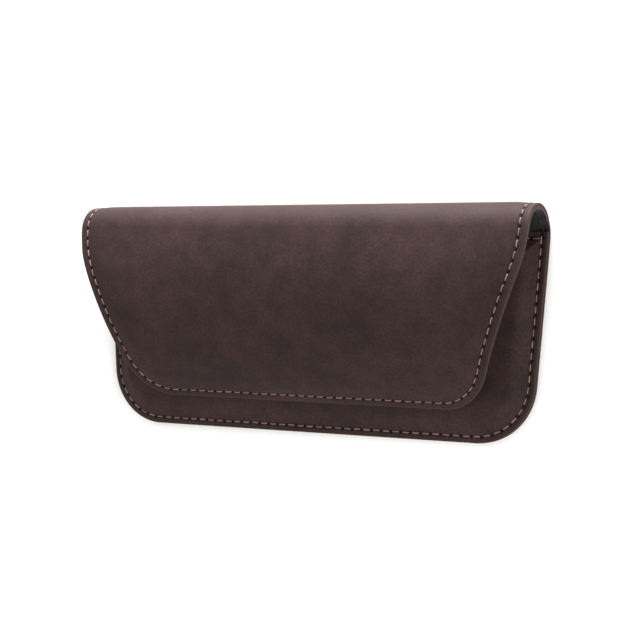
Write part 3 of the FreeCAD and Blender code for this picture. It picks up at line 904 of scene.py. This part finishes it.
def thread_material(name, first, second):
    """Three-ply bonded polyester sewing thread: twisted, dyed and coated to hold the plies together."""
    material, tree, surface = shader(name)
    parts = add(tree, "ShaderNodeSeparateXYZ", {0: attribute(tree, "twist", "Vector")}).outputs
    turns = sums(tree, "ADD", sums(tree, "MULTIPLY", parts[0], 3.0), sums(tree, "MULTIPLY", parts[1], 2.2))
    ply = sums(tree, "PINGPONG", turns, 0.5)
    own = add(tree, "ShaderNodeTexWhiteNoise", {"W": parts[2]}, noise_dimensions="1D").outputs["Value"]
    colour = blend_colours(tree, own, linear(first), linear(second))
    shade = span(tree, ply, 0.0, 0.5, 0.72, 1.08)
    grey = add(tree, "ShaderNodeCombineColor", {0: shade, 1: shade, 2: shade}).outputs[0]
    tree.links.new(blend_colours(tree, 1.0, colour, grey, "MULTIPLY"), surface.inputs["Base Color"])
    surface.inputs["Roughness"].default_value = 0.5
    bump = add(tree, "ShaderNodeBump", {"Height": ply, "Strength": 0.8, "Distance": 0.12 * MM})
    tree.links.new(bump.outputs["Normal"], surface.inputs["Normal"])
    return material


def magnet_material():
    """Sintered magnet disc, barrel plated with nickel."""
    material, tree, surface = shader("nickel_plated_magnet")
    place = add(tree, "ShaderNodeTexCoord").outputs["Object"]
    scuffs = clouds(tree, place, across=1.5 * MM, detail=4.0, roughness=0.6)
    surface.inputs["Base Color"].default_value = linear("#b9b6ae")
    surface.inputs["Metallic"].default_value = 1.0
    tree.links.new(span(tree, scuffs, 0.3, 0.7, 0.18, 0.34), surface.inputs["Roughness"])
    return material


def patch_material():
    """Woven tape, heat cut into a disc and glued over the magnet."""
    material, tree, surface = shader("woven_patch_tape")
    place = add(tree, "ShaderNodeTexCoord").outputs["Object"]
    weave = add(tree, "ShaderNodeTexWave", {"Vector": place, "Scale": 1 / (0.6 * MM), "Distortion": 0.4})
    tree.links.new(
        blend_colours(tree, weave.outputs["Fac"], linear("#161414"), linear("#262222")),
        surface.inputs["Base Color"],
    )
    surface.inputs["Roughness"].default_value = 0.85
    return material


finishes = {
    "leather": leather_material(),
    "foam": foam_material(),
    "lining": lining_material(),
    "thread": thread_material("bonded_polyester_thread", "#694b48", "#8b6a66"),
    "bobbin": thread_material("dark_bobbin_thread", "#1f1718", "#2b2021"),
}
for name, obj in made.items():
    finish = "bobbin" if "_inside" in name else obj["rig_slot"]
    obj.data.materials.append(finishes[finish])
hidden = {"_magnet": magnet_material(), "_magnet_patch": patch_material()}
for part in ("front", "flap"):
    for ending, material in hidden.items():
        node = frame["nodes"][part + ending]
        node.data.materials.clear()
        node.data.materials.append(material)
print("materials:", sorted(material.name for material in bpy.data.materials if material.users))

# %% [markdown]
# ## What each sheet was cut as
#
# For each sheet but the foam, the length it was cut to, how it is held and the path of its cut edge are
# worked out here, with the fold's pieces listed beside the back's, because the back, the fold and the flap
# are one strip. Nothing more is done with them.

AREA_COUNTS = (200, 200)
for kind in layers:
    over_fold = [made["%s_fold_%d" % (kind, number + 1)] for number in range(STRIPS + 1)]
    if kind == "foam":
        continue
    sizes = {
        "back": (BACK_LENGTH - STRIP_LENGTH / 2, "laid", over_fold),
        "front": (MOUTH, "stretched", []),
        "flap": (FLAP_LENGTH - STRIP_LENGTH / 2, "folded", []),
    }
    for part, (length, held, along) in sizes.items():
        edge = {"back": body_edge, "front": pocket_edge, "flap": flap_edge}[part]
        path = row(edge, 0.0, AREA_COUNTS)

# %% [markdown]
# ## Stage, light and camera
#
# A pale sweep lies under the case, lit as for a catalogue: one very wide soft light from beyond the fold, a
# lower one at its right, and a bright even surround, so the shadow stays soft and the leather's own shading
# shows.

# %% Stage
FLOOR_HALF = 3.0
FLOOR_Z = -0.05 * MM
SURROUND = 0.95
floor_mesh = bpy.data.meshes.new("floor")
corners = [(-1, -1), (1, -1), (1, 1), (-1, 1)]
floor_points = [(FLOOR_HALF * x, FLOOR_HALF * y, FLOOR_Z) for x, y in corners]
floor_mesh.from_pydata(floor_points, [], [(0, 1, 2, 3)])
floor = bpy.data.objects.new("floor", floor_mesh)
bpy.context.collection.objects.link(floor)
paper, _, paper_surface = shader("matt_background_paper")
paper_surface.inputs["Base Color"].default_value = linear("#f7f6f4")
paper_surface.inputs["Roughness"].default_value = 0.9
floor.data.materials.append(paper)

scene = bpy.context.scene
scene.view_settings.view_transform = "Standard"
world = bpy.data.worlds.new("surround")
scene.world = world
world.use_nodes = True
world.node_tree.nodes["Background"].inputs["Color"].default_value = linear("#ffffff")
world.node_tree.nodes["Background"].inputs["Strength"].default_value = SURROUND


def soft_light(name, place, towards, size, power):
    """A square area light at place, facing towards."""
    data = bpy.data.lights.new(name, "AREA")
    data.size = size
    data.energy = power
    lamp = bpy.data.objects.new(name, data)
    bpy.context.collection.objects.link(lamp)
    lamp.location = place
    aim = Vector(towards) - Vector(place)
    lamp.rotation_euler = aim.to_track_quat("-Z", "Y").to_euler()


soft_light("overhead_bank", (0.0, 0.75, 0.12), (0, 0, 0.01), 0.24, 20.0)
soft_light("front_fill", (0.65, -0.35, 0.35), (0, 0, 0), 0.6, 4.5)

CAMERA_AT = Vector((296.96, 8.94, 504.48)) * MM
CAMERA_RIGHT = Vector((0.86312, 0.01768, -0.5047))
CAMERA_UP = Vector((-0.02317, 0.99972, -0.0046))
CAMERA_VIEW = Vector((-0.50448, -0.01566, -0.86328))
LENS_MM = 94.98
SENSOR_MM = 36.0
camera_data = bpy.data.cameras.new("camera")
camera_data.lens = LENS_MM
camera_data.sensor_width = SENSOR_MM
camera = bpy.data.objects.new("camera", camera_data)
bpy.context.collection.objects.link(camera)
facing = Matrix((CAMERA_RIGHT, CAMERA_UP, -CAMERA_VIEW)).transposed().to_4x4()
camera.matrix_world = Matrix.Translation(CAMERA_AT) @ facing
scene.camera = camera
